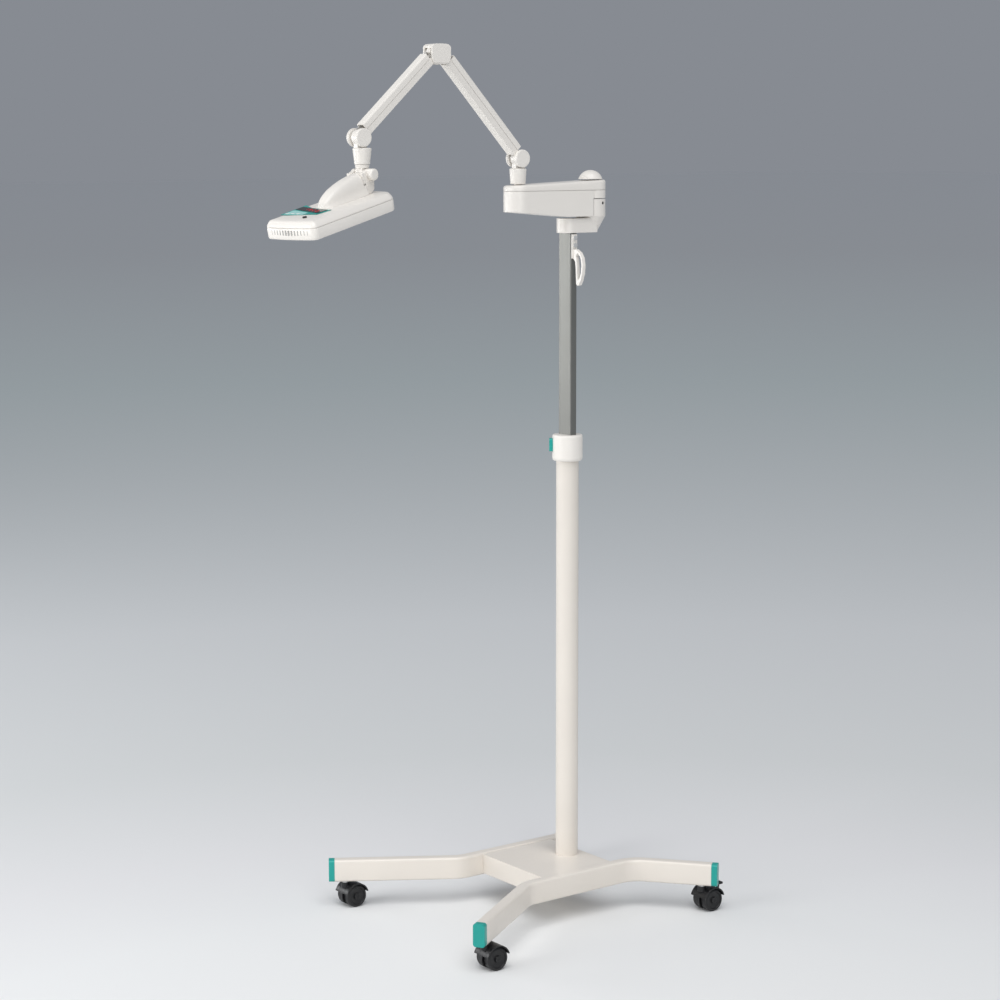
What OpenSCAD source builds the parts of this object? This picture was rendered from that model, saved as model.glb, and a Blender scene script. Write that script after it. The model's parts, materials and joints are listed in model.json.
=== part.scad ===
// Infant phototherapy lamp on a rolling stand.
// Origin: floor point on the column's axis. +Z up. The arm reaches towards -X.

/* [Base] */
// Distance from the column to the front feet, along X
front_reach = 455; // [400:5:520]
// Half width of the base at the front feet
front_half = 282; // [240:2:310]
// Distance from the column to the rear feet, along X
rear_reach = 212; // [190:2:260]
// Half width of the base at the rear feet
rear_half = 272; // [240:2:300]
// Half distance between the two rails where they run straight
rail_mid = 121; // [105:1:140]
// Rail tube width
rail_w = 26; // [22:1:32]
// Rail tube height
rail_h = 50; // [40:1:60]
// Underside of the rails above the floor
rail_z = 60; // [58:1:70]
// Front edge of the deck
deck_front = -155; // [-180:5:-120]
// Rear edge of the deck
deck_rear = 38; // [34:2:60]

/* [Casters] */
// Wheel radius
wheel_r = 25; // [22:0.5:25]
// Offset of the wheel axle behind the swivel
trail = 18; // [14:1:20]
// Width of one wheel
wheel_w = 17; // [14:0.5:17]

/* [Column] */
// Outer diameter of the round column
post_d = 50; // [48:1:50]
// Top end of the round column
post_top = 1040; // [1020:5:1050]
// Outer radius of the height collar
collar_r = 33.5; // [32:0.5:36]
// Inner column size across X
stem_x = 18; // [16:1:18]
// Inner column size across Y
stem_y = 42; // [38:1:42]
// Lower end of the inner column
stem_bottom = 600; // [560:10:640]

/* [Power arm] */
// Distance of the swing axis behind the column
swing_x = 62.5; // [60:0.5:65]
// Distance of the arm's swivel in front of the column
neck_x = 136; // [130:1:140]
// Half width of the power arm
arm_half = 31; // [30:0.5:32]

/* [Spring arm] */
// Height of the shoulder pivot
shoulder_z = 1659; // [1655:1:1665]
// Elbow pivot of the lower link, distance in front of the column
elbow_x = 334; // [330:1:340]
// Height of both elbow pivots
elbow_z = 1871; // [1865:1:1880]
// Distance between the two elbow pivots
elbow_gap = 22; // [22:1:24]
// Wrist pivot, distance in front of the column
wrist_x = 540; // [538:1:542]
// Height of the wrist pivot
wrist_z = 1704; // [1702:1:1706]
// Distance between a link's main pivot and its levelling rod
rod_off = 11; // [10.5:0.5:11.5]

/* [Lamp head] */
// Distance of the head's swivel in front of the column
head_x = 533; // [532:1:534]
// Height of the tilt axis
tilt_z = 1630; // [1629:1:1631]
// Turn of the head about its swivel, in degrees
head_turn = 16; // [0:1:30]
// Nose-down tilt of the head, in degrees
head_tilt = 12.2; // [0:0.1:20]
// Head length
head_l = 273; // [260:1:290]
// Head width
head_w = 132; // [124:1:140]

/* [Hidden] */
ivory = [0.90, 0.88, 0.83];
teal = [0.10, 0.68, 0.60];
grey = [0.55, 0.56, 0.56];
black = [0.05, 0.05, 0.05];
blue = [0.15, 0.35, 0.9];
wall = 2;
bend_front = 60;
bend_rear = 70;
cap_t = 13;
e = 0.01;

// ---------- helpers ----------
function unit(v) = v / norm(v);
function ang(v) = atan2(v[1], v[0]);
front_end = [-front_reach, front_half];
front_bend = [-208, rail_mid];
rear_bend = [88, rail_mid];
rear_end = [rear_reach, rear_half];
dir_front = unit(front_end - front_bend);
dir_rear = unit(rear_end - rear_bend);
// Turn angle at each bend
turn_f = 180 - ang(dir_front);
turn_r = ang(dir_rear);
tan_f = bend_front * tan(turn_f / 2);
tan_r = bend_rear * tan(turn_r / 2);
// Centre line of a rail's outline, offset sideways by o, lengthened by x at each end
function rail_side(o, x) = concat(
  [front_end + dir_front * x + o * [dir_front[1], -dir_front[0]]],
  [for (i = [0:8]) let (a = -90 - turn_f + turn_f * i / 8)
    [front_bend[0] + tan_f, rail_mid + bend_front] + (bend_front - o) * [cos(a), sin(a)]],
  [for (i = [0:9]) let (a = -90 + turn_r * i / 9)
    [rear_bend[0] - tan_r, rail_mid + bend_rear] + (bend_rear - o) * [cos(a), sin(a)]],
  [rear_end + dir_rear * x + o * [-dir_rear[1], dir_rear[0]]]);
module rail_outline(half, x) {
  a = rail_side(half, x);
  b = rail_side(-half, x);
  polygon(concat(a, [for (i = [len(b) - 1:-1:0]) b[i]]));
}
// Places children at each caster swivel: front then rear, for the side s
module at_front(s) { translate([front_end[0] - 36 * dir_front[0], s * (front_end[1] - 36 * dir_front[1]), 0]) children(); }
module at_rear(s) { translate([rear_end[0] - 36 * dir_rear[0], s * (rear_end[1] - 36 * dir_rear[1]), 0]) children(); }
module rrect(x, y, r, h) {
  linear_extrude(h) union() {
    square([x - 2 * r, y], center = true);
    square([x, y - 2 * r], center = true);
    for (i = [-1, 1], j = [-1, 1]) translate([i * (x / 2 - r), j * (y / 2 - r)]) circle(r, $fn = 24);
  }
}
module rrect2(x, y, r) {
  union() {
    square([x - 2 * r, y], center = true);
    square([x, y - 2 * r], center = true);
    for (i = [-1, 1], j = [-1, 1]) translate([i * (x / 2 - r), j * (y / 2 - r)]) circle(r, $fn = 24);
  }
}
module ycyl(r, y0, y1, n = 48) { translate([0, y1, 0]) rotate([90, 0, 0]) cylinder(r = r, h = y1 - y0, $fn = n); }

// ---------- base ----------
module deck() {
  color(ivory) difference() {
    translate([deck_front, -rail_mid + rail_w / 2, 64]) cube([deck_rear - deck_front, 2 * rail_mid - rail_w, 44]);
    translate([deck_front + 2.5, -rail_mid + rail_w / 2 + 2.5, 60]) cube([deck_rear - deck_front - 5, 2 * rail_mid - rail_w - 5, 45.5]);
    translate([0, 0, 100]) cylinder(r = post_d / 2 + 0.02, h = 20, $fn = 72);
  }
}
module rail(s) {
  color(ivory) mirror([0, s < 0 ? 1 : 0, 0]) difference() {
    translate([0, 0, rail_z]) linear_extrude(rail_h) rail_outline(rail_w / 2, -cap_t);
    translate([0, 0, rail_z + wall]) linear_extrude(rail_h - 2 * wall) rail_outline(rail_w / 2 - wall, 5);
    at_front(1) translate([0, 0, rail_z - 1]) cylinder(r = 9.03, h = wall + 2, $fn = 48);
    at_rear(1) translate([0, 0, rail_z - 1]) cylinder(r = 9.03, h = wall + 2, $fn = 48);
  }
}
module rail_left() { rail(1); }
module rail_right() { rail(-1); }
module end_cap() {
  // local: +X outwards, origin on the rail's end face centre
  translate([-cap_t, 0, 0]) rotate([0, 90, 0]) rrect(rail_h, rail_w, 6, cap_t);
  translate([-cap_t - 12, 0, 0]) rotate([0, 90, 0]) difference() {
    rrect(rail_h - 2 * wall - 0.1, rail_w - 2 * wall - 0.1, 1, 12);
    translate([0, 0, -1]) rrect(rail_h - 2 * wall - 5, rail_w - 2 * wall - 5, 1, 11);
  }
}
module end_caps() {
  color(teal) for (s = [-1, 1]) {
    translate([front_end[0], s * front_end[1], rail_z + rail_h / 2]) rotate([0, 0, s * ang(dir_front)]) end_cap();
    translate([rear_end[0], s * rear_end[1], rail_z + rail_h / 2]) rotate([0, 0, s * ang(dir_rear)]) end_cap();
  }
}
module caster_socket() {
  difference() {
    translate([0, 0, rail_z]) cylinder(r = 9, h = 32, $fn = 48);
    translate([0, 0, rail_z - 1]) cylinder(r = 5.06, h = 30, $fn = 48);
  }
}
module caster_sockets() { color(grey) for (s = [-1, 1]) { at_front(s) caster_socket(); at_rear(s) caster_socket(); } }
module post_tube() {
  color(ivory) difference() {
    translate([0, 0, 98]) cylinder(r = post_d / 2, h = post_top - 98, $fn = 72);
    translate([0, 0, 97]) cylinder(r = post_d / 2 - wall, h = post_top, $fn = 72);
  }
}
button_az = 143;
module collar() {
  color(ivory) difference() {
    rotate_extrude($fn = 96) polygon([[post_d / 2 + 0.02, 1001], [collar_r - 6, 1001], [collar_r - 3, 1002], [collar_r - 1, 1004], [collar_r, 1008],
      [collar_r, 1055], [collar_r - 1, 1058], [collar_r - 3, 1059], [0, 1059], [0, post_top + 0.2], [post_d / 2 + 0.02, post_top + 0.2]]);
    translate([0, 0, 1030]) linear_extrude(40) rrect2(stem_x + 0.6, stem_y + 0.6, 3.3);
    rotate([0, 0, button_az]) translate([26, -9.4, 1021.6]) cube([20, 18.8, 28.8]);
  }
}
module release_button() {
  color(teal) rotate([0, 0, button_az]) translate([29, 0, 1036]) rotate([0, 90, 0]) rrect(28, 18, 3, 11);
}
module guide_bush() {
  color(black) difference() {
    translate([0, 0, 965]) cylinder(r = post_d / 2 - wall - 0.03, h = post_top - 965, $fn = 72);
    translate([0, 0, 960]) linear_extrude(100) rrect2(stem_x + 0.16, stem_y + 0.16, 3.08);
  }
}

// ---------- casters (local: swivel axis on Z, wheels trail towards +X) ----------
module c_stem() {
  translate([0, 0, 47]) cylinder(r = 5, h = 41, $fn = 40);
  translate([0, 0, 57.2]) cylinder(r = 8, h = 2.4, $fn = 40);
}
module c_hood(brake) {
  difference() {
    union() {
      // Central web between the wheels
      intersection() {
        translate([trail, 0, wheel_r]) ycyl(29.5, -4.8, 4.8, 64);
        translate([-20, -10, 12]) cube([80, 20, 60]);
      }
      // Cover over both wheels
      difference() {
        translate([trail, 0, wheel_r]) ycyl(29.5, -24, 24, 64);
        translate([trail, 0, wheel_r]) ycyl(26.6, -25, 25, 64);
        translate([-40, -30, -10]) cube([120, 60, 43]);
      }
      // Lugs that carry the brake lever
      if (brake) for (s = [-1, 1]) difference() {
        union() {
          translate([trail + 21, 0, 53]) ycyl(3.9, s > 0 ? 8.2 : -11, s > 0 ? 11 : -8.2, 32);
          translate([trail + 17.5, s * 9.6 - 1.4, 41]) cube([7, 2.8, 12]);
        }
        translate([trail, 0, wheel_r]) ycyl(26.6, -25, 25, 64);
      }
      translate([0, 0, 44.5]) cylinder(r = 9.5, h = 12.6, $fn = 40);
    }
    translate([0, 0, 47]) cylinder(r = 5, h = 20, $fn = 40);
    translate([trail, 0, wheel_r]) ycyl(3.05, -30, 30, 32);
    // Room for the two wheels
    translate([trail, 0, wheel_r]) { ycyl(26.6, 5, 25, 64); ycyl(26.6, -25, -5, 64); }
    if (brake) translate([trail + 21, 0, 53]) ycyl(1.55, -12, 12, 24);
  }
}
module c_wheel(s) {
  // one wheel with a soft tread edge and a dished outer face
  translate([trail, 0, wheel_r]) rotate([s > 0 ? -90 : 90, 0, 0]) translate([0, 0, 5.6]) rotate_extrude($fn = 72)
    polygon([[3.06, 0], [wheel_r - 1, 0], [wheel_r, 1.5], [wheel_r, wheel_w - 4], [wheel_r - 1.2, wheel_w - 1.2], [wheel_r - 4, wheel_w],
      [wheel_r - 6, wheel_w], [wheel_r - 7, wheel_w - 2], [8, wheel_w - 3], [7, wheel_w], [3.06, wheel_w]]);
}
module c_wheels() {
  c_wheel(1);
  c_wheel(-1);
  translate([trail, 0, wheel_r]) ycyl(3, -22, 22, 32);
}
module c_brake() {
  translate([trail + 21, 0, 53]) {
    ycyl(3, -7.8, 7.8, 32);
    ycyl(1.5, -11, 11, 24);
    translate([0, -7.8, -0.2]) cube([15, 15.6, 3.2]);
    translate([12, -7.8, -0.2]) cube([5, 15.6, 4.6]);
  }
}
module caster_fl_stem() { color(grey) at_front(1) c_stem(); }
module caster_fl_hood() { color(black) at_front(1) c_hood(false); }
module caster_fl_wheels() { color(black) at_front(1) c_wheels(); }
module caster_fr_stem() { color(grey) at_front(-1) c_stem(); }
module caster_fr_hood() { color(black) at_front(-1) c_hood(false); }
module caster_fr_wheels() { color(black) at_front(-1) c_wheels(); }
module caster_rl_stem() { color(grey) at_rear(1) rotate([0, 0, 180]) c_stem(); }
module caster_rl_hood() { color(black) at_rear(1) rotate([0, 0, 180]) c_hood(true); }
module caster_rl_wheels() { color(black) at_rear(1) rotate([0, 0, 180]) c_wheels(); }
module caster_rl_brake() { color(black) at_rear(1) rotate([0, 0, 180]) c_brake(); }
module caster_rr_stem() { color(grey) at_rear(-1) c_stem(); }
module caster_rr_hood() { color(black) at_rear(-1) c_hood(true); }
module caster_rr_wheels() { color(black) at_rear(-1) c_wheels(); }
module caster_rr_brake() { color(black) at_rear(-1) c_brake(); }

// ---------- inner column and bracket ----------
br_z0 = 1499;
br_z1 = 1530;
up_top = 1571;
up_r = 33;
module stem() {
  color(grey) difference() {
    translate([0, 0, stem_bottom]) rrect(stem_x, stem_y, 3, 1524 - stem_bottom);
    translate([0, 0, stem_bottom - 1]) rrect(stem_x - 2 * wall, stem_y - 2 * wall, 1.2, 940);
    for (z = loop_screw_z) translate([0, -stem_y / 2 + 6, z]) rotate([90, 0, 0]) cylinder(r = 2.05, h = 10, $fn = 24);
  }
}
clamp_az = -72.5;
loop_screw_z = [1472.5, 1488.5];
module bracket() {
  color(ivory) difference() {
    union() {
      translate([0, 0, br_z0]) linear_extrude(br_z1 - br_z0) union() {
        circle(24.5, $fn = 72);
        translate([0, -24.5]) square([swing_x, 49]);
      }
      translate([swing_x, 0, br_z0]) cylinder(r1 = 14, r2 = up_r, h = 35, $fn = 72);
      translate([swing_x, 0, br_z0 + 35 - e]) cylinder(r = up_r, h = up_top - br_z0 - 35 + e, $fn = 72);
    }
    translate([0, 0, br_z0 - 1]) linear_extrude(26) rrect2(stem_x + 0.06, stem_y + 0.06, 3.03);
    translate([swing_x, 0, 1540]) cylinder(r = 10, h = 40, $fn = 48);
    translate([swing_x, 0, 1562]) rotate([0, 90, clamp_az]) cylinder(r = 3.5, h = 40, $fn = 32);
    for (s = [-1]) translate([0, 0, 1511.5]) rotate([s * 90, 0, 0]) translate([0, 0, 22.2]) cylinder(r = 3.5, h = 10, $fn = 32);
  }
}
module bracket_screws() {
  color(black) {
    translate([swing_x, 0, 1562]) rotate([0, 90, clamp_az]) translate([0, 0, 10.2]) difference() {
      cylinder(r = 3.4, h = 21.8, $fn = 32);
      translate([0, 0, 18]) cylinder(r = 1.8, h = 6, $fn = 6);
    }
    for (s = [-1]) translate([0, 0, 1511.5]) rotate([s * 90, 0, 0]) translate([0, 0, 22.3]) difference() {
      cylinder(r = 3.4, h = 1.9, $fn = 32);
      translate([0, 0, 0.9]) cylinder(r = 1.6, h = 6, $fn = 6);
    }
  }
}
module swivel_shaft() {
  color(grey) union() {
    translate([swing_x, 0, 1540.2]) cylinder(r = 9.96, h = 64, $fn = 48);
    translate([swing_x, 0, 1604]) cylinder(r = 6, h = 3, $fn = 6);
  }
}
module cord_loop() {
  color(ivory) difference() {
    union() {
      translate([-7, -stem_y / 2 - 3, 1444]) cube([14, 3, 52]);
      translate([-4, 0, 0]) rotate([90, 0, 90]) linear_extrude(8) difference() {
        polygon([[-21, 1463], [-33, 1464], [-46, 1457], [-54, 1446], [-57, 1430], [-55, 1412], [-49, 1396], [-43, 1387], [-37, 1386],
          [-34, 1390], [-33, 1404], [-32, 1425], [-30, 1438], [-24, 1444], [-21, 1446]]);
        polygon([[-38, 1456], [-46, 1450], [-50, 1442], [-51.5, 1430], [-50, 1414], [-45, 1402], [-40, 1398], [-38, 1404], [-37, 1425], [-35, 1441], [-33, 1450]]);
      }
    }
    for (z = loop_screw_z) translate([0, -10, z]) rotate([90, 0, 0]) cylinder(r = 2.05, h = 30, $fn = 24);
  }
}
module loop_screws() {
  color(grey) for (z = loop_screw_z) translate([0, 0, z]) rotate([90, 0, 0]) {
    translate([0, 0, stem_y / 2 + 3]) cylinder(r = 5.2, h = 3, $fn = 32);
    translate([0, 0, 17]) cylinder(r = 2, h = stem_y / 2 + 3 - 17 + e, $fn = 24);
  }
}

// ---------- power arm ----------
pa_split = 1590;
module pa_plan(half, rear) {
  union() {
    translate([-neck_x, 0]) circle(half, $fn = 72);
    translate([-neck_x, -half]) square([neck_x + swing_x - 14, 2 * half]);
    translate([swing_x, 0]) circle(rear, $fn = 72);
  }
}
// Side profile, shrunk by t
module pa_side(t) {
  translate([0, 60, 0]) rotate([90, 0, 0]) linear_extrude(120)
    polygon([[-200, 1549.5 + t], [-24, 1534 + t], [130, 1534 + t], [130, 1614 - t], [-200, 1600.5 - t]]);
}
module housing_lower() {
  color(ivory) difference() {
    intersection() { translate([0, 0, 1520]) linear_extrude(pa_split - 1520) pa_plan(arm_half, 33); pa_side(0); }
    difference() {
      intersection() { translate([0, 0, 1520]) linear_extrude(100) pa_plan(arm_half - 2.5, 30.5); pa_side(2.5); }
      translate([-neck_x, 0, 1500]) cylinder(r = 13, h = 84, $fn = 48);
      translate([swing_x, 0, 1560]) cylinder(r = 37, h = 20, $fn = 72);
      translate([swing_x, 0, 1500]) cylinder(r = 37, h = 60 + e, $fn = 72);
      translate([swing_x, 0, 1560]) cylinder(r = 15, h = 29.9, $fn = 48);
    }
    // Clearance over the bracket's upright
    translate([swing_x, 0, 1500]) cylinder(r = 34.4, h = 72.5, $fn = 72);
    translate([swing_x, 0, 1560]) cylinder(r = 10.03, h = 40, $fn = 48);
    translate([-neck_x, 0, 1560]) cylinder(r = 8.05, h = 60, $fn = 48);
    // Inlet and switch openings in the far wall
    translate([-75, arm_half - 4, 1552]) cube([30, 8, 22]);
    translate([-20, arm_half - 4, 1556]) cube([20, 8, 13.4]);
  }
}
module housing_upper() {
  color(ivory) difference() {
    intersection() { translate([0, 0, pa_split + 0.6]) linear_extrude(40) pa_plan(arm_half, 33); pa_side(0); }
    difference() {
      intersection() { translate([0, 0, pa_split - 5]) linear_extrude(60) pa_plan(arm_half - 2.5, 30.5); pa_side(2.5); }
      translate([-neck_x, 0, pa_split]) cylinder(r = 13, h = 30, $fn = 48);
    }
    translate([-neck_x, 0, 1580]) cylinder(r = 8.05, h = 60, $fn = 48);
  }
}
module dome_cap() {
  color(ivory) difference() {
    translate([swing_x, 0, 1605.5]) sphere(r = 27.5, $fn = 72);
    translate([swing_x, 0, 1570]) cylinder(r = 40, h = 43.3, $fn = 72);
    // underside follows the sloping lid
    translate([0, 60, 0]) rotate([90, 0, 0]) linear_extrude(120) polygon([[-200, 1580], [130, 1580], [130, 1614.02], [-200, 1600.52]]);
  }
}
module power_board() {
  color([0.1, 0.35, 0.2]) {
    translate([-112, -22, 1556]) cube([134, 28, 2]);
    translate([-60, -20, 1558]) cube([38, 24, 22]);
    translate([-10, -16, 1558]) cube([24, 18, 16]);
    for (x = [-100, -84]) translate([x, -6, 1558]) cylinder(r = 6, h = 18, $fn = 32);
  }
}
module inlet_socket() {
  color(black) difference() {
    union() {
      translate([-74.9, 9, 1552.1]) cube([29.8, arm_half - 9.5, 21.8]);
      translate([-77, arm_half, 1550]) cube([34, 2, 26]);
      translate([-74.9, arm_half - 1, 1552.1]) cube([29.8, 2, 21.8]);
    }
    translate([-72, 13, 1555]) cube([24, 30, 16]);
  }
}
switch_x = -10;
module power_switch() {
  color(black) translate([switch_x, 26, 1562.7]) rotate([0, 0, -7]) {
    intersection() {
      cylinder(r = 9.2, h = 12, center = true, $fn = 48);
      translate([-9, -2, -6]) cube([18, 9, 12]);
    }
  }
}

// ---------- spring arm ----------
A1 = [-neck_x, shoulder_z];
A2 = [-elbow_x, elbow_z];
A3 = [-elbow_x - elbow_gap, elbow_z];
A4 = [-wrist_x, wrist_z];
len1 = norm(A2 - A1);
len2 = norm(A4 - A3);
th1 = atan2(A1[1] - A2[1], A1[0] - A2[0]);
th2 = atan2(A3[1] - A4[1], A3[0] - A4[0]);
// Unit vectors square to each link, pointing up
n1 = [-sin(th1), cos(th1)];
n2 = [-sin(th2), cos(th2)];
B1 = A1 + rod_off * n1;
B2 = A2 + rod_off * n1;
B3 = A3 + rod_off * n2;
B4 = A4 + rod_off * n2;
// Local: +X along the link, +Z up and square to it
module along(p, th) { translate([p[0], 0, p[1]]) rotate([0, -th, 0]) children(); }
module link_beam(l, ra, rb) {
  difference() {
    union() {
      for (s = [-1, 1]) {
        ys = s > 0 ? 9.5 : -12;
        translate([0, ys, -8.5]) cube([l, 2.5, 13]);
        ycyl(ra, ys, ys + 2.5, 48);
        translate([l, 0, 0]) ycyl(rb, ys, ys + 2.5, 48);
      }
      translate([19, -12, -8.5]) cube([l - 38, 24, 2.5]);
    }
    ycyl(3.04, -20, 20, 32);
    translate([l, 0, 0]) ycyl(3.04, -20, 20, 32);
  }
}
module link_cover(l, a, b) {
  difference() {
    translate([a, 0, 0]) rotate([90, 0, 90]) linear_extrude(l - a - b) difference() {
      polygon([[-12, 5.2], [12, 5.2], [12, 15.5], [11, 17.6], [9, 18.5], [-9, 18.5], [-11, 17.6], [-12, 15.5]]);
      translate([-9.5, 5]) square([19, 11]);
    }
  }
}
module link_rod(l) {
  difference() {
    union() {
      translate([0, 5.4, rod_off - 3]) cube([l, 2.8, 6]);
      translate([0, 0, rod_off]) ycyl(3.8, 5.4, 8.2, 32);
      translate([l, 0, rod_off]) ycyl(3.8, 5.4, 8.2, 32);
    }
    translate([0, 0, rod_off]) ycyl(2.04, 0, 10, 24);
    translate([l, 0, rod_off]) ycyl(2.04, 0, 10, 24);
  }
}
module lower_beam() { color(ivory) along(A2, th1) link_beam(len1, 10.5, 18.5); }
module lower_cover() { color(ivory) along(A2, th1) link_cover(len1, 17, 19.2); }
module lower_rod() { color(grey) along(A2, th1) link_rod(len1); }
module upper_beam() { color(ivory) along(A4, th2) link_beam(len2, 18.5, 10.5); }
module upper_cover() { color(ivory) along(A4, th2) link_cover(len2, 19.2, 17); }
module upper_rod() { color(grey) along(A4, th2) link_rod(len2); }
module at_xz(p) { translate([p[0], 0, p[1]]) children(); }
// Tongue that carries a main pivot p and a rod pivot q, rooted on the box x0..x1, z0..z1
module tongue(p, q, x0, x1, z0, z1, r = 8) {
  d = q - p;
  u = unit(d) * 5;
  translate([0, 5, 0]) rotate([90, 0, 0]) linear_extrude(14) union() {
    translate(p) circle(r, $fn = 48);
    translate(q) circle(5.2, $fn = 32);
    polygon([p + [-u[1], u[0]], q + [-u[1], u[0]], q + [u[1], -u[0]], p + [u[1], -u[0]]]);
    translate([x0, z0]) square([x1 - x0, z1 - z0]);
  }
}
module cap_disc(r, h) { rotate_extrude($fn = 64) polygon([[0, 0], [r, 0], [r, h - 2.5], [r - 0.8, h - 0.8], [r - 2.5, h], [0, h]]); }
module end_discs(p, r) {
  at_xz(p) {
    translate([0, 12.35, 0]) rotate([-90, 0, 0]) cap_disc(r, 7);
    translate([0, -12.35, 0]) rotate([90, 0, 0]) cap_disc(r, 7);
  }
}
nk_top = shoulder_z - 20.5;
module shoulder_neck() {
  color(ivory) difference() {
    union() {
      translate([-neck_x, 0, 0]) rotate_extrude($fn = 72) polygon([[0, 1562], [8, 1562], [8, 1605.2], [15.6, 1605.2], [16.2, 1606], [18.4, nk_top - 2.5], [17.6, nk_top - 0.7], [15.6, nk_top], [0, nk_top]]);
      tongue(A1, B1, -neck_x - 12, -neck_x + 12, nk_top - 4, shoulder_z, 16);
    }
    at_xz(A1) ycyl(3.02, -10, 10, 32);
    at_xz(B1) ycyl(2.02, -10, 10, 24);
  }
}
module shoulder_pins() {
  color(ivory) {
    at_xz(A1) ycyl(3, -12.3, 12.3, 32);
    at_xz(B1) ycyl(2, -5, 8.6, 24);
    end_discs(A1, 19);
  }
}
module elbow_block() {
  color(ivory) difference() {
    union() {
      tongue(A2, B2, A2[0] - 8, A2[0] + 8, A2[1], 1888);
      tongue(A3, B3, A3[0] - 8, A3[0] + 8, A3[1], 1888);
      translate([A3[0] - 10, -5, 1884]) cube([elbow_gap + 20, 10, 5]);
      translate([A3[0] - 11, -15, 1886]) cube([elbow_gap + 22, 30, 3]);
      for (s = [-1, 1]) translate([0, s > 0 ? 12.4 : -15, 0]) translate([0, 2.6, 0]) rotate([90, 0, 0]) linear_extrude(2.6)
        polygon([[A3[0] - 11.5, 1889], [A2[0] + 11.5, 1889], [A2[0] + 11.5, 1868], [A2[0] + 8, 1856], [A2[0] + 4, 1852.5], [A3[0] - 4, 1852.5], [A3[0] - 8, 1856], [A3[0] - 11.5, 1868]]);
    }
    for (p = [A2, A3]) at_xz(p) ycyl(3.02, -20, 20, 32);
    for (p = [B2, B3]) at_xz(p) ycyl(2.02, -10, 10, 24);
  }
}
module elbow_cover() {
  color(ivory) difference() {
    translate([0, 16.5, 0]) rotate([90, 0, 0]) linear_extrude(33)
      polygon([[A3[0] - 13, 1866], [A3[0] - 8, 1855], [A2[0] + 8, 1855], [A2[0] + 13, 1866], [A2[0] + 13, 1888], [A2[0] + 9, 1892.5], [A2[0] + 3, 1894.5], [A3[0] - 3, 1894.5], [A3[0] - 9, 1892.5], [A3[0] - 13, 1888]]);
    translate([A3[0] - 11.6, -15.1, 1840]) cube([elbow_gap + 23.2, 30.2, 49.05]);
    translate([A3[0] - 20, -12.6, 1840]) cube([elbow_gap + 40, 25.2, 49.05]);
  }
}
module elbow_pins() {
  color(grey) {
    for (p = [A2, A3]) at_xz(p) ycyl(3, -14.9, 14.9, 32);
    for (p = [B2, B3]) at_xz(p) ycyl(2, -5, 8.6, 24);
  }
}
wk_top = wrist_z - 20.5;
module wrist_block() {
  color(ivory) difference() {
    union() {
      translate([-head_x, 0, 0]) rotate_extrude($fn = 72) polygon([[0, 1650], [15.2, 1650], [16, 1651], [19.4, wk_top - 2.5], [18.6, wk_top - 0.7], [16.6, wk_top], [0, wk_top]]);
      tongue(A4, B4, -wrist_x - 10, -wrist_x + 13, wk_top - 4, wrist_z, 16);
    }
    at_xz(A4) ycyl(3.02, -10, 10, 32);
    at_xz(B4) ycyl(2.02, -10, 10, 24);
    translate([-head_x, 0, 1640]) cylinder(r = 7.05, h = 35, $fn = 48);
  }
}
module wrist_pins() {
  color(ivory) {
    at_xz(A4) ycyl(3, -12.3, 12.3, 32);
    at_xz(B4) ycyl(2, -5, 8.6, 24);
    end_discs(A4, 19);
  }
}

// ---------- lamp head (local: origin on the tilt axis, nose towards -X) ----------
module at_head() { translate([-head_x, 0, tilt_z]) rotate([0, -head_tilt, head_turn]) children(); }
module at_swivel() { translate([-head_x, 0, tilt_z]) rotate([0, 0, head_turn]) children(); }
barrel_r = 12;
module head_neck() {
  color(ivory) at_swivel() difference() {
    union() {
      translate([0, 0, 14]) cylinder(r = 7, h = 30, $fn = 48);
      translate([0, 0, 12.5]) cylinder(r1 = 13.8, r2 = 15, h = 7, $fn = 64);
      ycyl(barrel_r, -11, 11, 64);
      translate([-10.5, -9, 0]) cube([21, 18, 13]);
    }
    ycyl(4.04, -20, 20, 32);
  }
}
module tilt_pin() { color(grey) at_head() ycyl(4, -33, 23, 32); }
nose = -241;
ht = -41.5;
hb = -76;
// Plan outline of the head: half width w, length from x0 to x1
function head_pts(w, x0, x1) = [[x0 + 3, -w + 7], [x0 + 9, -w], [x1 - 22, -w], [x1 - 6, -w + 12], [x1 + 1, -w * 0.5], [x1 + 3, 0], [x1 + 1, w * 0.5],
  [x1 - 6, w - 12], [x1 - 22, w], [x0 + 9, w], [x0 + 3, w - 7], [x0 - 2, w * 0.55], [x0 - 4, 0], [x0 - 2, -w * 0.55]];
module head_slab(w, x0, x1, z0, z1) { translate([0, 0, z0]) linear_extrude(z1 - z0) polygon(head_pts(w, x0, x1)); }
hw = head_w / 2;
x_rear = nose + head_l;
module head_top() {
  color(ivory) at_head() difference() {
    hull() {
      head_slab(hw - 0.5, nose + 0.5, x_rear - 0.5, -52, -50);
      head_slab(hw - 5, nose + 4, x_rear - 5, ht - 1, ht);
      translate([(nose + x_rear) / 2, 0, -38.5]) cube([head_l - 50, head_w - 50, 3], center = true);
    }
    hull() {
      head_slab(hw - 3, nose + 3, x_rear - 3, -53, -50);
      head_slab(hw - 8, nose + 7, x_rear - 8, ht - 4, ht - 3);
    }
    // Grille slots in the nose
    for (i = [-5:5]) translate([nose - 10, i * 8 - 1.6, -50.5]) cube([16, 3.2, 7.5]);
    translate([-210, -18, -50]) cylinder(r = 4.6, h = 20, $fn = 32);
  }
}
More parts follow.
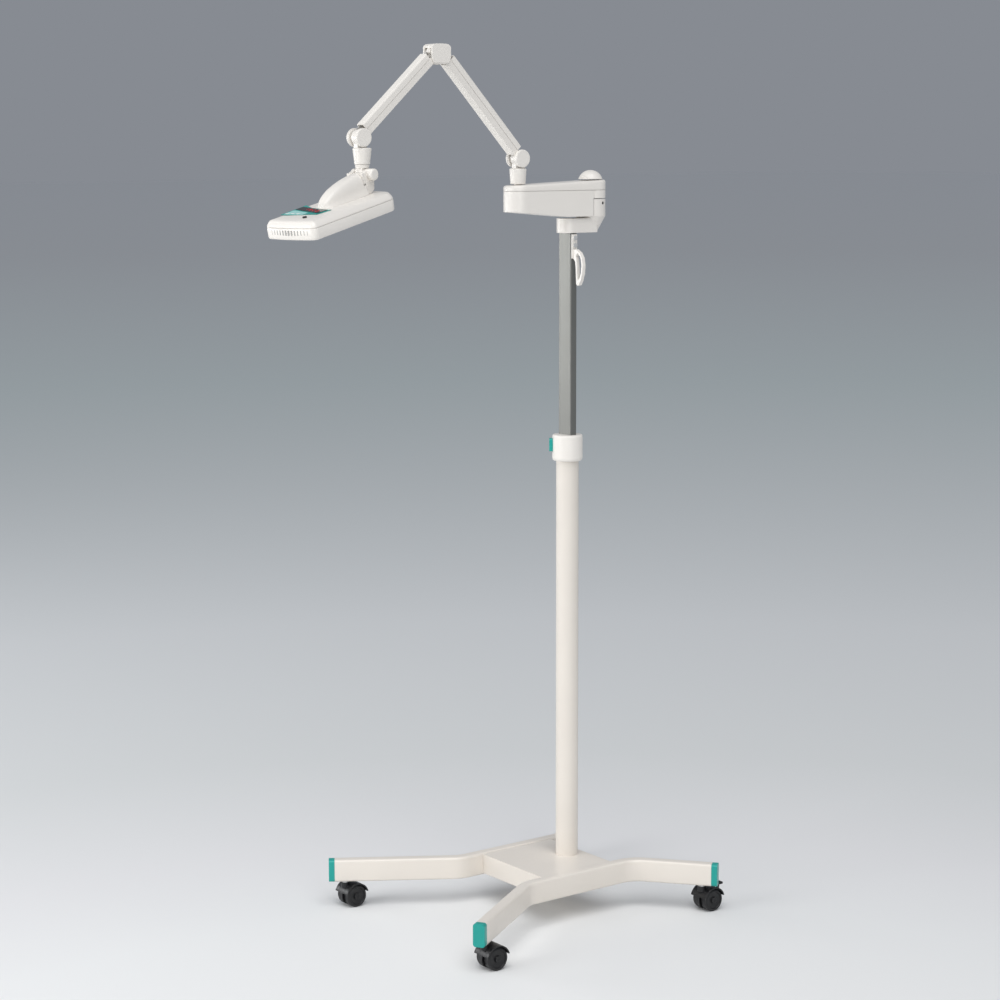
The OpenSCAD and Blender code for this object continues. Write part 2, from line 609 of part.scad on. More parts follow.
module head_base() {
  color(ivory) at_head() difference() {
    hull() {
      head_slab(hw, nose, x_rear, -73, -52.05);
      head_slab(hw - 2, nose + 2, x_rear - 2, hb, -74);
    }
    head_slab(hw - 2.5, nose + 2.5, x_rear - 2.5, -73.5, -50);
    translate([-205, -46, -80]) cube([170, 92, 10]);
    for (i = [-5:5]) translate([nose - 10, i * 8 - 1.6, -66]) cube([16, 3.2, 11]);
  }
}
module light_window() { color([0.8, 0.85, 0.9, 0.4]) at_head() { translate([-204.8, -45.8, -75.6]) cube([169.6, 91.6, 2]); translate([-209, -50, -73.4]) cube([178, 100, 2]); } }
module led_board() {
  color([0.85, 0.87, 0.88]) at_head() {
    translate([-204, -46, -66]) cube([168, 92, 2]);
    for (i = [0:6], j = [0:3]) translate([-192 + i * 24, -33 + j * 22, -69.5]) cylinder(r = 3.5, h = 3.6, $fn = 24);
  }
}
module heat_sink() {
  color(grey) at_head() {
    translate([-204, -44, -63.9]) cube([168, 88, 3]);
    for (i = [0:10]) translate([-204, -43 + i * 8.4, -61]) cube([168, 2, 14]);
  }
}
module hood() {
  color(ivory) at_head() difference() {
    union() {
      hull() {
        translate([-131, 0, -38]) cylinder(r = 8, h = 7, $fn = 32);
        translate([-118, 0, -38]) cylinder(r = 15, h = 20, $fn = 32);
        translate([-95, 0, -38]) cylinder(r = 19, h = 33, $fn = 32);
        translate([-40, 0, -38]) cylinder(r = 21, h = 44, $fn = 32);
      }
      intersection() {
        translate([-44, -22, -38]) cube([44, 44, 46]);
        union() { translate([-44, -22, -24]) cube([44, 44, 31]); translate([-44, -22, -38]) cube([24, 44, 40]); }
      }
      ycyl(barrel_r, -34, 24, 64);
    }
    // Slot for the swivel's knuckle
    translate([-15.5, -11.3, -16]) cube([40, 22.6, 60]);
    translate([-19, -11.3, -4]) cube([24, 22.6, 40]);
    ycyl(4.02, -40, 40, 32);
    // Underside sits on the head's lid
    translate([-300, -60, -60]) cube([400, 120, 23]);
  }
}
module keypad() {
  color(teal) at_head() translate([0, 0, -36.98]) linear_extrude(0.6) polygon([[-187, -30], [-149, -36], [-146, -16], [-142.5, 6], [-138, 24], [-122, 50], [-118, 57], [-196, 57], [-198, 40], [-190, 0]]);
}
module display_window() {
  color(black) at_head() translate([0, 0, -36.37]) linear_extrude(0.8) polygon([[-180, -25], [-152, -29], [-149.5, -12], [-146.5, 6], [-133, 52], [-154, 54]]);
}
module light_sensor() { color(black) at_head() translate([-210, -18, -44.5]) cylinder(r = 4.5, h = 9, $fn = 32); }

deck();
rail_left();
rail_right();
end_caps();
caster_sockets();
post_tube();
collar();
guide_bush();
release_button();
caster_fl_stem();
caster_fl_hood();
caster_fl_wheels();
caster_fr_stem();
caster_fr_hood();
caster_fr_wheels();
caster_rl_stem();
caster_rl_hood();
caster_rl_wheels();
caster_rl_brake();
caster_rr_stem();
caster_rr_hood();
caster_rr_wheels();
caster_rr_brake();
stem();
bracket();
bracket_screws();
swivel_shaft();
cord_loop();
loop_screws();
housing_lower();
housing_upper();
dome_cap();
power_board();
inlet_socket();
power_switch();
shoulder_neck();
shoulder_pins();
lower_beam();
lower_cover();
lower_rod();
elbow_block();
elbow_cover();
elbow_pins();
upper_beam();
upper_cover();
upper_rod();
wrist_block();
wrist_pins();
head_neck();
tilt_pin();
head_top();
head_base();
hood();
light_window();
led_board();
heat_sink();
keypad();
display_window();
light_sensor();
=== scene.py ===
import json
import math

import bpy
from mathutils import Matrix, Vector


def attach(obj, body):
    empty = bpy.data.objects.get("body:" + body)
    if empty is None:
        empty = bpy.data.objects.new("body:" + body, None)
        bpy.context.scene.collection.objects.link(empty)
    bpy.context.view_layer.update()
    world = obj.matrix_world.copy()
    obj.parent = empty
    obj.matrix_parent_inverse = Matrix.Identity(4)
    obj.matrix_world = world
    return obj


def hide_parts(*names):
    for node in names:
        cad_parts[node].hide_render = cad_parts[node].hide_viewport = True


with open("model.json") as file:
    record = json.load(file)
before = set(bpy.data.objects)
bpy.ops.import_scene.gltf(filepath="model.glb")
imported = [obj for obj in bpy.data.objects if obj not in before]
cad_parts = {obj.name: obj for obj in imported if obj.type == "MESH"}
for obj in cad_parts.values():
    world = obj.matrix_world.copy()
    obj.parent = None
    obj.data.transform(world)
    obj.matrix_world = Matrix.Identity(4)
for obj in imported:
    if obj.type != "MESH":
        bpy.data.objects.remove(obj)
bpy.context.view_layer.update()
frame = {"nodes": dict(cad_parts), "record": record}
MM = 0.001


# ---------------------------------------------------------------- materials
def new_material(name):
    m = bpy.data.materials.new(name)
    m.use_nodes = True
    nt = m.node_tree
    nt.nodes.clear()
    out = nt.nodes.new("ShaderNodeOutputMaterial")
    bsdf = nt.nodes.new("ShaderNodeBsdfPrincipled")
    nt.links.new(bsdf.outputs["BSDF"], out.inputs["Surface"])
    return m, nt, bsdf


def coords(nt, scale=(1, 1, 1)):
    tc = nt.nodes.new("ShaderNodeTexCoord")
    mp = nt.nodes.new("ShaderNodeMapping")
    mp.inputs["Scale"].default_value = scale
    nt.links.new(tc.outputs["Object"], mp.inputs["Vector"])
    return mp.outputs["Vector"]


def noise(nt, vec, scale, detail=3.0, rough=0.5):
    n = nt.nodes.new("ShaderNodeTexNoise")
    n.inputs["Scale"].default_value = scale
    n.inputs["Detail"].default_value = detail
    n.inputs["Roughness"].default_value = rough
    nt.links.new(vec, n.inputs["Vector"])
    return n.outputs["Fac"]


def spread(nt, fac, a, b):
    r = nt.nodes.new("ShaderNodeMapRange")
    r.inputs["From Min"].default_value = 0.3
    r.inputs["From Max"].default_value = 0.7
    r.inputs["To Min"].default_value = a
    r.inputs["To Max"].default_value = b
    nt.links.new(fac, r.inputs["Value"])
    return r.outputs["Result"]


def tint(nt, fac, a, b):
    r = nt.nodes.new("ShaderNodeValToRGB")
    r.color_ramp.elements[0].position = 0.35
    r.color_ramp.elements[1].position = 0.65
    r.color_ramp.elements[0].color = (*a, 1)
    r.color_ramp.elements[1].color = (*b, 1)
    nt.links.new(fac, r.inputs["Fac"])
    return r.outputs["Color"]


def surface(name, colour, rough=(0.3, 0.4), vary=0.03, grain=900.0, depth=0.02, edge=1.2, metal=0.0, coat=0.0, stretch=(1, 1, 1), spec=0.5):
    """A procedural surface: soft colour drift, uneven gloss, fine relief and eased edges."""
    m, nt, b = new_material(name)
    big = noise(nt, coords(nt), 7.0, 4.0)
    dark = tuple(c * (1 - vary) for c in colour)
    light = tuple(min(1.0, c * (1 + vary)) for c in colour)
    nt.links.new(tint(nt, big, dark, light), b.inputs["Base Color"])
    fine = noise(nt, coords(nt, stretch), grain, 2.0)
    mid = noise(nt, coords(nt, stretch), grain * 0.08, 3.0)
    nt.links.new(spread(nt, mid, rough[0], rough[1]), b.inputs["Roughness"])
    b.inputs["Metallic"].default_value = metal
    b.inputs["Coat Weight"].default_value = coat
    b.inputs["Coat Roughness"].default_value = 0.12
    b.inputs["Specular IOR Level"].default_value = spec
    bump = nt.nodes.new("ShaderNodeBump")
    bump.inputs["Strength"].default_value = depth
    bump.inputs["Distance"].default_value = 0.001
    nt.links.new(fine, bump.inputs["Height"])
    if edge > 0:
        bev = nt.nodes.new("ShaderNodeBevel")
        bev.samples = 4
        bev.inputs["Radius"].default_value = edge * MM
        nt.links.new(bev.outputs["Normal"], bump.inputs["Normal"])
    nt.links.new(bump.outputs["Normal"], b.inputs["Normal"])
    return m


MAT = {
    "base_paint": surface("base_paint", (0.775, 0.720, 0.650), (0.28, 0.40), 0.015, 1500, 0.015, 1.8, coat=0.12),
    "housing_plastic": surface("housing_plastic", (0.848, 0.808, 0.752), (0.30, 0.42), 0.012, 2200, 0.010, 1.6, coat=0.08),
    "arm_paint": surface("arm_paint", (0.830, 0.790, 0.735), (0.28, 0.38), 0.012, 1500, 0.010, 1.0, coat=0.10),
    "teal_plastic": surface("teal_plastic", (0.008, 0.330, 0.285), (0.28, 0.40), 0.05, 1800, 0.03, 1.0),
    "brushed_alloy": surface("brushed_alloy", (0.245, 0.245, 0.230), (0.42, 0.50), 0.03, 420, 0.04, 0.8, metal=0.9, stretch=(9, 9, 0.12)),
    "steel": surface("steel", (0.74, 0.735, 0.72), (0.24, 0.34), 0.03, 700, 0.02, 0.3, metal=0.55),
    "black_plastic": surface("black_plastic", (0.006, 0.006, 0.007), (0.30, 0.46), 0.12, 1600, 0.04, 0.8),
    "caster_wheel": surface("caster_wheel", (0.005, 0.005, 0.006), (0.34, 0.52), 0.15, 1200, 0.06, 0.6),
    "bearing_plastic": surface("bearing_plastic", (0.06, 0.06, 0.065), (0.4, 0.5), 0.08, 1500, 0.05, 0.4),
    "board": surface("board", (0.02, 0.12, 0.06), (0.35, 0.5), 0.1, 900, 0.1, 0.2),
    "led_panel": surface("led_panel", (0.80, 0.82, 0.85), (0.3, 0.4), 0.03, 900, 0.03, 0.2),
    "heat_sink_metal": surface("heat_sink_metal", (0.5, 0.51, 0.52), (0.3, 0.45), 0.05, 700, 0.06, 0.2, metal=1.0),
    "diffuser": surface("diffuser", (0.74, 0.80, 0.88), (0.22, 0.34), 0.02, 2400, 0.06, 0.4, coat=0.4),
    "display_glass": surface("display_glass", (0.012, 0.004, 0.007), (0.10, 0.16), 0.1, 400, 0.005, 0.3, coat=0.05, spec=0.22),
}
THIN = {
    "arm_paint": surface("arm_paint_thin", (0.830, 0.790, 0.735), (0.28, 0.38), 0.012, 300, 0.002, 0.0, coat=0.10),
    "housing_plastic": surface("housing_plastic_thin", (0.848, 0.808, 0.752), (0.30, 0.42), 0.012, 300, 0.002, 0.0, coat=0.08),
}
THIN_NODES = ("lower_beam", "upper_beam", "lower_cover", "upper_cover", "elbow_block", "elbow_cover")
VENT = surface("vent_shadow", (0.42, 0.41, 0.39), (0.5, 0.6), 0.05, 900, 0.03, 0.3)
PRINT = surface("panel_print", (0.36, 0.70, 0.66), (0.3, 0.4), 0.02, 1800, 0.02, 0.0)
KEYS = surface("key_print", (0.78, 0.82, 0.80), (0.3, 0.4), 0.02, 1800, 0.02, 0.2)


def red_glow():
    m, nt, b = new_material("segment_red")
    fac = noise(nt, coords(nt), 400.0)
    nt.links.new(tint(nt, fac, (0.42, 0.012, 0.014), (0.60, 0.020, 0.022)), b.inputs["Base Color"])
    b.inputs["Emission Color"].default_value = (0.9, 0.02, 0.02, 1)
    b.inputs["Emission Strength"].default_value = 0.25
    b.inputs["Roughness"].default_value = 0.3
    return m


RED = red_glow()
slot_of = {s["node"]: s["material_slot"] for s in frame["record"]["subparts"]}
for name, ob in frame["nodes"].items():
    ob.data.materials.clear()
    ob.data.materials.append(THIN[slot_of[name]] if name in THIN_NODES else MAT[slot_of[name]])
    for poly in ob.data.polygons:
        poly.use_smooth = True
    ob.data.set_sharp_from_angle(angle=math.radians(28))


# ---------------------------------------------------------------- mesh helpers
def make(name, verts, faces, mat, body, slot, smooth=35.0, world=None):
    me = bpy.data.meshes.new(name)
    if world is not None:
        verts = [world @ Vector(v) for v in verts]
    me.from_pydata([tuple(v) for v in verts], [], faces)
    me.validate()
    me.update()
    ob = bpy.data.objects.new(name, me)
    bpy.context.scene.collection.objects.link(ob)
    me.materials.append(mat)
    for p in me.polygons:
        p.use_smooth = True
    me.set_sharp_from_angle(angle=math.radians(smooth))
    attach(ob, body)
    return ob


def bridge(rings, cap_first=True, cap_last=True):
    """Quads between rings of equal length, each ring a list of (x, y, z)."""
    n = len(rings[0])
    verts = [p for ring in rings for p in ring]
    faces = []
    for k in range(len(rings) - 1):
        for i in range(n):
            j = (i + 1) % n
            faces.append((k * n + i, k * n + j, (k + 1) * n + j, (k + 1) * n + i))
    if cap_first:
        faces.append(tuple(reversed(range(n))))
    if cap_last:
        base = (len(rings) - 1) * n
        faces.append(tuple(range(base, base + n)))
    return verts, faces


def rounded(corners, steps=8):
    """Counter-clockwise outline with arcs; corners are (x, y, radius)."""
    pts = []
    n = len(corners)
    for i in range(n):
        p = Vector(corners[i][:2])
        a = (Vector(corners[i - 1][:2]) - p).normalized()
        b = (Vector(corners[(i + 1) % n][:2]) - p).normalized()
        r = corners[i][2]
        half = math.acos(max(-1, min(1, a.dot(b)))) / 2
        t = r / math.tan(half)
        c = p + (a + b).normalized() * (r / math.sin(half))
        s, e = p + a * t, p + b * t
        a0 = math.atan2(s.y - c.y, s.x - c.x)
        a1 = math.atan2(e.y - c.y, e.x - c.x)
        d = (a1 - a0 + math.pi) % (2 * math.pi) - math.pi
        for k in range(steps + 1):
            w = a0 + d * k / steps
            pts.append((c.x + r * math.cos(w), c.y + r * math.sin(w)))
    return pts


def inset(pts, d):
    n = len(pts)
    out = []
    for i in range(n):
        a, b = Vector(pts[i - 1]), Vector(pts[(i + 1) % n])
        t = (b - a).normalized()
        out.append((pts[i][0] - t.y * d, pts[i][1] + t.x * d))
    return out


def box_mesh(lo, hi):
    x0, y0, z0 = lo
    x1, y1, z1 = hi
    v = [(x0, y0, z0), (x1, y0, z0), (x1, y1, z0), (x0, y1, z0), (x0, y0, z1), (x1, y0, z1), (x1, y1, z1), (x0, y1, z1)]
    f = [(0, 3, 2, 1), (4, 5, 6, 7), (0, 1, 5, 4), (1, 2, 6, 5), (2, 3, 7, 6), (3, 0, 4, 7)]
    return v, f


def join(parts):
    V, F = [], []
    for v, f in parts:
        o = len(V)
        V += list(v)
        F += [tuple(i + o for i in q) for q in f]
    return V, F


def soften(ob, width, segments=3, angle=40.0):
    m = ob.modifiers.new("edges", "BEVEL")
    m.width = width * MM
    m.segments = segments
    m.limit_method = "ANGLE"
    m.angle_limit = math.radians(angle)
    m.harden_normals = False
    return ob


# ---------------------------------------------------------------- rails: rounded tubes along the bent line
def rail_line():
    fe, fb, rb, re_ = Vector((-455, 282)), Vector((-208, 121)), Vector((88, 121)), Vector((212, 272))
    df, dr = (fe - fb).normalized(), (re_ - rb).normalized()
    tf = math.pi - math.atan2(df.y, df.x)
    tr = math.atan2(dr.y, dr.x)
    kf, kr = 60 * math.tan(tf / 2), 70 * math.tan(tr / 2)
    pts = [(fe - df * 13, Vector((df.y, -df.x)))]
    pts.append((fb + df * (kf + 30), Vector((df.y, -df.x))))
    cf, cr = Vector((fb.x + kf, 181)), Vector((rb.x - kr, 191))
    for i in range(11):
        a = -math.pi / 2 - tf + tf * i / 10
        n = Vector((math.cos(a), math.sin(a)))
        pts.append((cf + n * 60, -n))
    for i in range(13):
        a = -math.pi / 2 + tr * i / 12
        n = Vector((math.cos(a), math.sin(a)))
        pts.append((cr + n * 70, -n))
    pts.append((re_ - dr * 13, Vector((-dr.y, dr.x))))
    return pts


RAIL_SECTION = rounded([(-13, 60, 5), (13, 60, 5), (13, 110, 5), (-13, 110, 5)], 5)
for side, node in ((1, "rail_left"), (-1, "rail_right")):
    rings = []
    for p, n in rail_line():
        ring = []
        for (o, z) in RAIL_SECTION:
            q = p + n * o
            ring.append((q.x * MM, q.y * side * MM, z * MM))
        rings.append(ring)
    v, f = bridge(rings)
    if side < 0:
        f = [tuple(reversed(q)) for q in f]
    f = [tuple(reversed(q)) for q in f]
    ob = make(node + "_tube", v, f, MAT["base_paint"], "base", "base_paint", 30)
    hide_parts(node)

# ---------------------------------------------------------------- lamp head
HEAD = Matrix.Translation((-0.533, 0, 1.630)) @ Matrix.Rotation(math.radians(16), 4, "Z") @ Matrix.Rotation(math.radians(-12.2), 4, "Y") @ Matrix.Scale(MM, 4)
# Counter-clockwise seen from above
OUT = rounded([(-245, 0, 320), (-238.5, -66, 13), (8, -66, 24), (27, -47, 22), (34, 0, 190), (27, 47, 22), (8, 66, 24), (-238.5, 66, 13)], 8)


def level(d, z):
    return [(x, y, z) for x, y in inset(OUT, d)]


def shrink(k, z):
    return [(-105 + (x + 105) * k, y * k, z) for x, y in inset(OUT, 10.5)]


def lamp_window(z, grow=0.0):
    ring = []
    for x, y in OUT:
        dx, dy = x + 120, y
        r = ((abs(dx) / (85 + grow)) ** 10 + (abs(dy) / (46 + grow)) ** 10) ** (-0.1)
        ring.append((-120 + dx * r, dy * r, z))
    return ring


rings = [lamp_window(-73.5), lamp_window(-75.6), lamp_window(-76, 0.5), level(3.8, -76), level(2.0, -75.4), level(0.8, -74.0), level(0.2, -72), level(0.0, -66), level(0.0, -53.4), level(0.35, -52.7), level(1.4, -52.45), level(2.4, -52.45)]
v, f = bridge(rings, False, False)
base_shell = make("head_base_shell", v, f, MAT["housing_plastic"], "head", "housing_plastic", 40, HEAD)
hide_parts("head_base")
rings = [level(2.4, -52.1), level(0.9, -52.1), level(0.4, -51.7), level(0.3, -50.6), level(0.6, -49.4), level(2.2, -46.6), level(4.4, -43.6), level(6.2, -41.5), level(8.0, -40.2), level(10.5, -39.3), shrink(0.93, -38.6), shrink(0.84, -38.0), shrink(0.70, -37.5), shrink(0.50, -37.15), shrink(0.25, -37.05)]
v, f = bridge(rings, False, True)
top_shell = make("head_top_shell", v, f, MAT["housing_plastic"], "head", "housing_plastic", 50, HEAD)
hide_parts("head_top")

# vent slots in the nose
parts = []
for i in range(-6, 7):
    y = i * 7.6
    x = -245 + 0.1 * abs(y) * 1.05
    parts.append(box_mesh((x - 0.3, y - 1.5, -66), (x + 4, y + 1.5, -56)))
v, f = join(parts)
soften(make("nose_vents", v, f, VENT, "head", "housing_plastic", 30, HEAD), 0.5, 2)

# hood: lofted along the head
stations = [(-140.5, 3, -35.5), (-139, 7, -32), (-136, 10, -27.5), (-131, 13, -22.5), (-124, 15.4, -17.6), (-114, 17.6, -12), (-100, 19.2, -6.2), (-84, 20.2, -1.6), (-63, 21, 3), (-42, 21.4, 5.8), (-28, 21.6, 6.9), (-17.5, 21.6, 7.2)]
rings = []
for x, w, zt in stations:
    zb = -37.3
    h = zt - zb
    ring = []
    foot = 5.0 if x > -138 else 1.5
    for k in range(25):
        t = math.pi * k / 24
        c, s = math.cos(t), math.sin(t)
        yy = w * (abs(c) ** 0.62) * (1 if c > 0 else -1)
        zz = zb + h * (abs(s) ** 0.62)
        flare = foot * math.exp(-(zz - zb) / 3.2)
        yy += flare * (1 if c > 0 else -1) * min(1.0, abs(c) * 3)
        ring.append((x, yy, zz))
    rings.append(ring)
v, f = bridge(rings, True, True)
hood_main = (v, [tuple(reversed(q)) for q in f])
parts = []
for s in (-1, 1):
    # cheeks from the hood back to the barrel
    prof = [(-24, -37.3), (-2, -37.3), (6.5, -31), (10.5, -9), (11.6, -2)]
    prof += [(11.9 * math.cos(math.radians(a)), 11.9 * math.sin(math.radians(a))) for a in range(0, 100, 12)]
    prof += [(-8, 9.4), (-17.5, 7.0), (-24, 6.9)]
    y0, y1 = (11.4, 21.0) if s > 0 else (-21.0, -11.4)
    v, f = bridge([[(x, y0, z) for x, z in prof], [(x, y1, z) for x, z in prof]])
    parts.append((v, [tuple(reversed(q)) for q in f]))
cheeks = join(parts)
hood = make("hood_cover", *join([hood_main, cheeks]), MAT["housing_plastic"], "head", "housing_plastic", 42, HEAD)
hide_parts("hood")
soften(hood, 1.2, 2, 50)
parts = []
for s in (-1, 1):
    e = 34.0 if s < 0 else 24.0
    prof = [(11.3, 11.3), (12, 12), (12, e - 2.8), (11.4, e - 1.2), (10.2, e - 0.2), (8.6, e)]
    rings = []
    for r, y in prof:
        rings.append([(r * math.cos(2 * math.pi * k / 48), s * y, r * math.sin(2 * math.pi * k / 48)) for k in range(48)])
    v, f = bridge(rings)
    parts.append((v, f if s < 0 else [tuple(reversed(q)) for q in f]))
barrel = make("tilt_barrel", *join(parts), MAT["housing_plastic"], "head", "housing_plastic", 45, HEAD)

# display digits and printed keys
def segments(x0, y0, pattern, size=5.4, w=1.1):
    """One digit lying on the display; local x runs towards the nose, y across."""
    z0, z1 = -35.56, -35.25
    h = size
    seg = {
        "a": ((-h, -h * 0.28), (-h + w, h * 0.28)),
        "g": ((-w / 2, -h * 0.28), (w / 2, h * 0.28)),
        "d": ((h - w, -h * 0.28), (h, h * 0.28)),
        "b": ((-h + w, -h * 0.42), (-w, -h * 0.42 + w)),
        "c": ((w, -h * 0.42), (h - w, -h * 0.42 + w)),
        "f": ((-h + w, h * 0.42 - w), (-w, h * 0.42)),
        "e": ((w, h * 0.42 - w), (h - w, h * 0.42)),
    }
    out = []
    for k in pattern:
        (a, b), (c, d) = seg[k]
        out.append(box_mesh((x0 - c, y0 + b, z0), (x0 - a, y0 + d, z1)))
    return out


parts = []
for i, pat in enumerate(("abcdef", "abged", "abcdefg", "bc")):
    yc = -12 + i * 12.5
    xc = -164.5 + i * 4.6
    parts += segments(xc, yc, pat)
v, f = join(parts)
make("display_digits", v, f, RED, "head", "display_glass", 30, HEAD)
field = [(-193.5, 2), (-176.5, 2), (-161, 49), (-163, 53), (-193.5, 53)]
make("panel_field", *bridge([[(x, y, -36.4) for x, y in field], [(x, y, -36.2) for x, y in field]]), PRINT, "head", "teal_plastic", 30, HEAD)
parts = []
for (x, y) in ((-186, 48), (-186, 34), (-186, 20)):
    ring0 = [(x + 4.2 * math.cos(2 * math.pi * k / 32), y + 4.2 * math.sin(2 * math.pi * k / 32), -36.4) for k in range(32)]
    ring1 = [(a, b, -36.05) for a, b, c in ring0]
    ring2 = [(x + (a - x) * 0.9, y + (b - y) * 0.9, -35.9) for a, b, c in ring0]
    parts.append(bridge([ring0, ring1, ring2]))
make("membrane_keys", *join(parts), KEYS, "head", "teal_plastic", 30, HEAD)

# ---------------------------------------------------------------- power arm lid with an eased rim
def arm_plan(d, z_of):
    pts = []
    r, rr = 31 - d, 33 - d
    for k in range(25):
        a = math.pi / 2 + math.pi * k / 24
        pts.append((-136 + r * math.cos(a), r * math.sin(a)))
    for k in range(1, 8):
        pts.append((-136 + k * 23, -r))
    for k in range(25):
        a = -math.pi / 2 + math.pi * k / 24
        pts.append((62.5 + rr * math.cos(a), rr * math.sin(a)))
    for k in range(1, 8):
        pts.append((25 - (k - 1) * 23, r))
    return [(x, y, z_of(x)) for x, y in pts]


def lid_z(x):
    return 1600.5 + (x + 200) / 330 * 13.5


UNIT = Matrix.Scale(MM, 4)
rings = [arm_plan(2.2, lambda x: 1590.35), arm_plan(0.7, lambda x: 1590.35), arm_plan(0.12, lambda x: 1590.8), arm_plan(0.0, lambda x: 1593), arm_plan(0.0, lambda x: lid_z(x) - 5.2), arm_plan(0.5, lambda x: lid_z(x) - 3.2), arm_plan(1.7, lambda x: lid_z(x) - 1.5), arm_plan(3.4, lambda x: lid_z(x) - 0.5), arm_plan(5.6, lambda x: lid_z(x) - 0.05)]
v, f = bridge(rings, False, True)
lid = make("power_arm_lid", v, f, MAT["housing_plastic"], "power_arm", "housing_plastic", 40, UNIT)
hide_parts("housing_upper")

# ---------------------------------------------------------------- elbow cover, rounded
prof = [(-369, 1866), (-364, 1855.5), (-326, 1855.5), (-321, 1866), (-321, 1887.5), (-323.2, 1890.6), (-327, 1893), (-332, 1894.1), (-345, 1894.5), (-358, 1894.1), (-363, 1893), (-366.8, 1890.6), (-369, 1887.5)]
parts = []
for s in (-1, 1):
    a, b = s * 12.7, s * 16.5
    v, f = bridge([[(x, a, z) for x, z in prof], [(x, b, z) for x, z in prof]])
    parts.append((v, [tuple(reversed(q)) for q in f] if s > 0 else f))
top = [(x, z) for x, z in prof if z > 1889.3]
top = [(-323.6, 1889.3)] + top + [(-366.4, 1889.3)]
v, f = bridge([[(x, -12.7, z) for x, z in top], [(x, 12.7, z) for x, z in top]])
parts.append((v, [tuple(reversed(q)) for q in f]))
cover = make("elbow_cap", *join(parts), THIN["housing_plastic"], "elbow", "housing_plastic", 40, UNIT)
soften(cover, 1.4, 3, 50)
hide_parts("elbow_cover")

# ---------------------------------------------------------------- studio
# Floor colour with a painted pool of light: brightest around (-0.9, -1.2) and darker with distance from it, standing in
# for the fall-off of the studio lights.
def light_pool_floor_material():
    m, nt, b = new_material("studio_floor_painted_light")
    geo = nt.nodes.new("ShaderNodeNewGeometry")
    sep = nt.nodes.new("ShaderNodeSeparateXYZ")
    nt.links.new(geo.outputs["Position"], sep.inputs["Vector"])
    flat = nt.nodes.new("ShaderNodeCombineXYZ")
    nt.links.new(sep.outputs["X"], flat.inputs["X"])
    nt.links.new(sep.outputs["Y"], flat.inputs["Y"])
    far = nt.nodes.new("ShaderNodeVectorMath"); far.operation = "DISTANCE"
    far.inputs[1].default_value = (-0.9, -1.2, 0)
    nt.links.new(flat.outputs["Vector"], far.inputs[0])
    ad2 = nt.nodes.new("ShaderNodeMath"); ad2.operation = "ADD"; ad2.inputs[1].default_value = 3.73
    nt.links.new(far.outputs["Value"], ad2.inputs[0])
    mxx = nt.nodes.new("ShaderNodeMath"); mxx.operation = "MAXIMUM"; mxx.inputs[1].default_value = 0.5
    nt.links.new(ad2.outputs[0], mxx.inputs[0])
    inv = nt.nodes.new("ShaderNodeMath"); inv.operation = "DIVIDE"; inv.inputs[0].default_value = 3.6
    nt.links.new(mxx.outputs[0], inv.inputs[1])
    ramp = nt.nodes.new("ShaderNodeValToRGB")
    stops = FLOOR_LIGHT_POOL_STOPS
    els = ramp.color_ramp.elements
    els[0].position, els[0].color = stops[0][0], (*stops[0][1], 1)
    els[1].position, els[1].color = stops[-1][0], (*stops[-1][1], 1)
    for p, c in stops[1:-1]:
        e = els.new(p); e.color = (*c, 1)
    nt.links.new(inv.outputs[0], ramp.inputs["Fac"])
    nt.links.new(ramp.outputs["Color"], b.inputs["Base Color"])
    b.inputs["Roughness"].default_value = 0.6
    b.inputs["Specular IOR Level"].default_value = 0.15
    return m


def lin(c):
    c = c / 255
    return c / 12.92 if c <= 0.04045 else ((c + 0.055) / 1.055) ** 2.4


def stop(d, rgb, gain):
    return (3.6 / d, tuple(min(0.95, lin(c) * gain * k) for c, k in zip(rgb, (1.015, 1.0, 0.965))))


# Painted light fall-off on the floor: colours at set distances from the bright centre, each scaled by a gain.
FLOOR_LIGHT_POOL_STOPS = [stop(90, (135, 139, 146), 1.32), stop(36, (137, 141, 147), 1.32), stop(17, (147, 155, 159), 1.36), stop(11.9, (161, 166, 170), 1.38), stop(8.4, (184, 187, 191), 1.30), stop(6.55, (205, 208, 211), 1.085), stop(5.7, (221, 222, 226), 1.035), stop(5.2, (230, 232, 235), 1.01), stop(4.2, (238, 239, 241), 0.99)]
me = bpy.data.meshes.new("floor")
me.from_pydata([(-80, -80, 0), (80, -80, 0), (80, 80, 0), (-80, 80, 0)], [], [(0, 1, 2, 3)])
floor = bpy.data.objects.new("floor", me)
bpy.context.scene.collection.objects.link(floor)
me.materials.append(light_pool_floor_material())

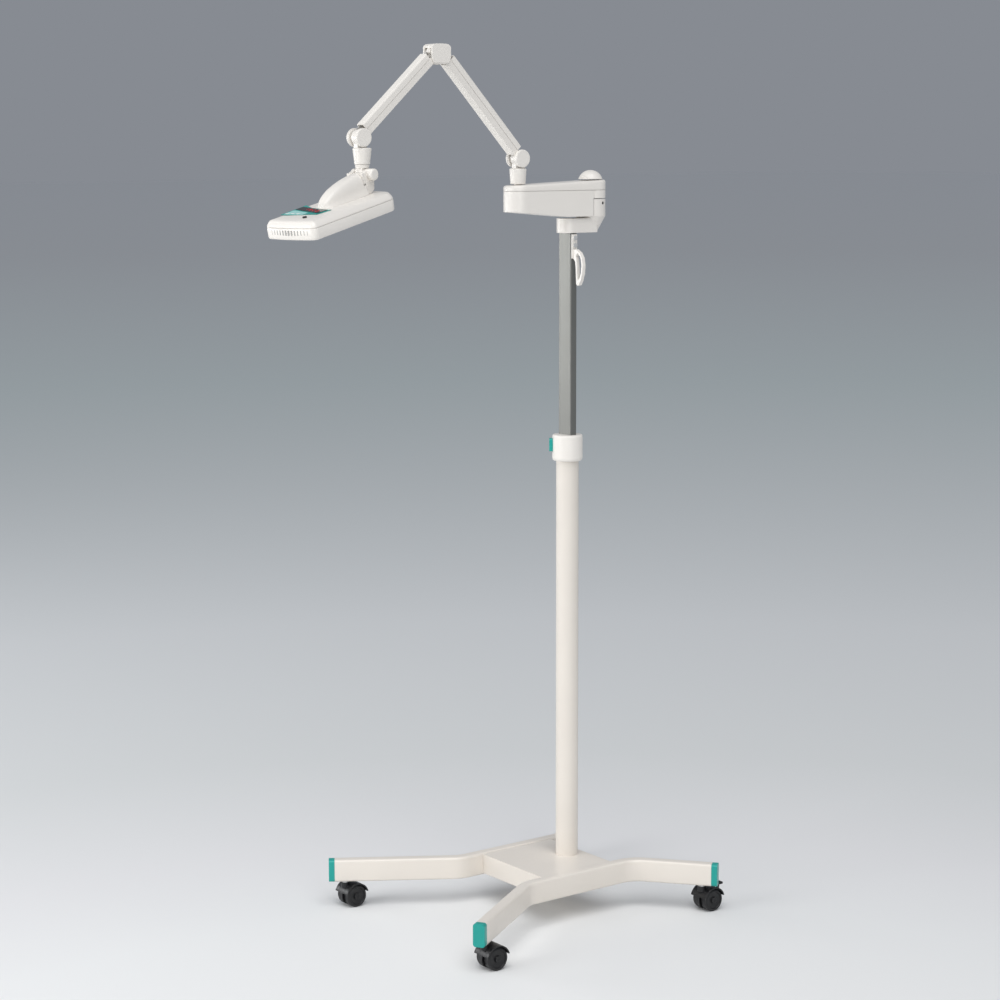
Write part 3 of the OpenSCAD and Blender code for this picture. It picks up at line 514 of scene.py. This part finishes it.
world = bpy.data.worlds.new("studio")
bpy.context.scene.world = world
world.use_nodes = True
bg = world.node_tree.nodes.get("Background") or world.node_tree.nodes.new("ShaderNodeBackground")
wout = world.node_tree.nodes.get("World Output") or world.node_tree.nodes.new("ShaderNodeOutputWorld")
world.node_tree.links.new(bg.outputs["Background"], wout.inputs["Surface"])
bg.inputs["Color"].default_value = (lin(135), lin(139), lin(146), 1)
bg.inputs["Strength"].default_value = 1.0


def area(name, loc, target, size, power, colour=(1, 1, 1)):
    d = bpy.data.lights.new(name, "AREA")
    d.shape = "RECTANGLE"
    d.size, d.size_y = size
    d.energy = power
    d.color = colour
    ob = bpy.data.objects.new(name, d)
    bpy.context.scene.collection.objects.link(ob)
    ob.location = loc
    ob.rotation_mode = "QUATERNION"
    ob.rotation_quaternion = (Vector(target) - Vector(loc)).to_track_quat("-Z", "Y")
    ob.visible_camera = False
    return ob


sun = bpy.data.lights.new("overhead", "SUN")
sun.energy = 1.75
sun.angle = math.radians(50)
sun_ob = bpy.data.objects.new("overhead", sun)
bpy.context.scene.collection.objects.link(sun_ob)
sun_ob.rotation_mode = "QUATERNION"
sun_ob.rotation_quaternion = Vector((0.25, 0.42, -0.87)).to_track_quat("-Z", "Y")
area("left_bank", (-4.2, 0.6, 1.75), (-0.1, 0, 1.0), (2.2, 2.1), 62)
area("front_bank", (-1.8, -5.0, 2.4), (-0.1, 0, 0.9), (2.6, 2.6), 50)
area("back_left_bank", (-3.6, 4.6, 1.55), (0, 0, 1.1), (3.2, 1.7), 76)

# ---------------------------------------------------------------- camera fitted to the photograph
cam = bpy.data.cameras.new("camera")
cam.lens = 86.4
cam.sensor_width = 36
cam.clip_end = 300
cam_ob = bpy.data.objects.new("camera", cam)
bpy.context.scene.collection.objects.link(cam_ob)
t = math.radians(8.62)
back = Vector((-0.601, -0.799, 0)).normalized()
fwd = -back * math.cos(t) - Vector((0, 0, 1)) * math.sin(t)
right = Vector((0.799, -0.601, 0)).normalized()
up = right.cross(fwd)
roll = math.radians(-0.14)
R2 = right * math.cos(roll) + up * math.sin(roll)
U2 = -right * math.sin(roll) + up * math.cos(roll)
m = Matrix((R2, U2, -fwd)).transposed().to_4x4()
m.translation = Vector((-3.2625, -4.0904, 1.706))
cam_ob.matrix_world = m
bpy.context.scene.camera = cam_ob
bpy.context.scene.view_settings.view_transform = "Standard"
bpy.context.scene.view_settings.look = "None"
